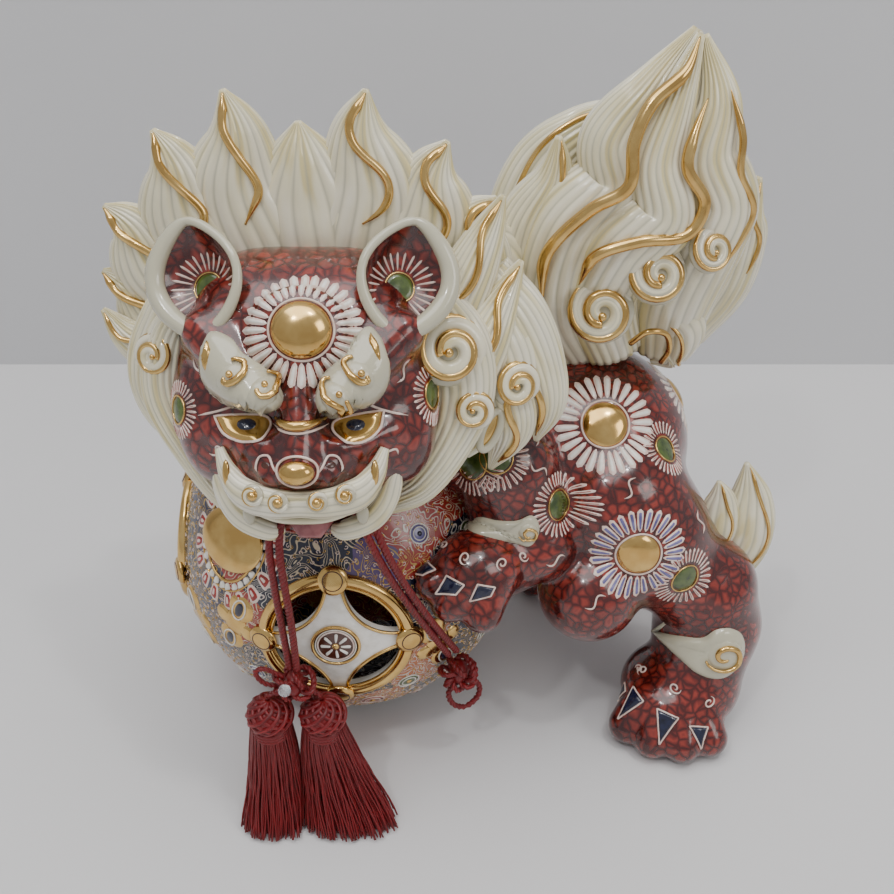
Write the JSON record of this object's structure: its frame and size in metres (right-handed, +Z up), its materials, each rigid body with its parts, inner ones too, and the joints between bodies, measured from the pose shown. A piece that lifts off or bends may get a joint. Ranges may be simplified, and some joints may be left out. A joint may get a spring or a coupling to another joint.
{
  "type": "guardian lion statue",
  "caption": "Glazed porcelain guardian lion with one fore paw on an openwork ball, a gilt flame mane and tail, and a doubled red silk cord with tassels through its mouth.",
  "frame": {"origin": "centre of the ball's flat foot, on the surface that the statue stands on", "axes": "+Z up; -Y is the way the lion looks, over the ball; +X runs from the ball towards the haunch"},
  "size_m": [0.2787, 0.1985, 0.2983],
  "materials": {
    "ball_glaze": "glossy navy overglaze with white and gold line work",
    "red_glaze": "glossy crackled iron red overglaze",
    "cream_glaze": "glossy cream glaze with combed hair lines and gilt ridges",
    "gold_lustre": "mirror gold lustre fired over the glaze",
    "pink_glaze": "glossy pink glaze",
    "blue_enamel": "glossy dark blue enamel with a pale outline",
    "red_silk": "braided rayon or silk cord and loose fringe",
    "clear_bead": "small clear bead"
  },
  "bodies": {
    "lion": {"ball_medallions": "gold_lustre", "ball_shell": "ball_glaze", "ball_window_back": "ball_glaze", "ball_window_front": "ball_glaze", "ball_window_left": "ball_glaze", "ball_window_right": "ball_glaze", "ball_window_rings": "gold_lustre", "brow_left": "cream_glaze", "brow_right": "cream_glaze", "cheek_lock_left": "cream_glaze", "cheek_lock_right": "cream_glaze", "claws_fore_right": "blue_enamel", "claws_hind_right": "blue_enamel", "cord_front_strand": "red_silk", "cord_rear_strand": "red_silk", "ear_left": "cream_glaze", "ear_right": "cream_glaze", "elbow_tuft": "cream_glaze", "eye_left": "gold_lustre", "eye_right": "gold_lustre", "forehead_boss": "gold_lustre", "foreleg_left": "red_glaze", "foreleg_right": "red_glaze", "head_shell": "red_glaze", "hindleg_left": "red_glaze", "hindleg_right": "red_glaze", "hock_tuft_left": "cream_glaze", "hock_tuft_right": "cream_glaze", "knot_bead": "clear_bead", "lower_jaw": "cream_glaze", "mane_back": "cream_glaze", "mane_crown": "cream_glaze", "nose": "gold_lustre", "paw_curl": "cream_glaze", "shoulder_lock": "cream_glaze", "tail_core": "cream_glaze", "tail_curls": "cream_glaze", "tail_flame_left": "cream_glaze", "tail_flame_right": "cream_glaze", "tassel_knot": "red_silk", "tongue": "pink_glaze", "trunk_shell": "red_glaze", "upper_lip": "cream_glaze"},
    "tassel_left": {"tassel_head_left": "red_silk", "tassel_skirt_left": "red_silk"},
    "tassel_right": {"tassel_head_right": "red_silk", "tassel_skirt_right": "red_silk"},
    "loop": {"loop_knot": "red_silk"}
  },
  "joints": [
    {"name": "tassel_left_swing", "type": "hinge", "parent": "lion", "child": "tassel_left", "pos_m": [-0.0275, -0.092, 0.066], "axis": [-1, 0, 0], "range_deg": [0, 40]},
    {"name": "tassel_right_swing", "type": "hinge", "parent": "lion", "child": "tassel_right", "pos_m": [-0.0055, -0.092, 0.066], "axis": [-1, 0, 0], "range_deg": [0, 40]},
    {"name": "loop_knot_swing", "type": "hinge", "parent": "lion", "child": "loop", "pos_m": [0.0485, -0.0675, 0.0655], "axis": [0.5893, -0.799, -0.1199], "range_deg": [-15, 0]}
  ]
}
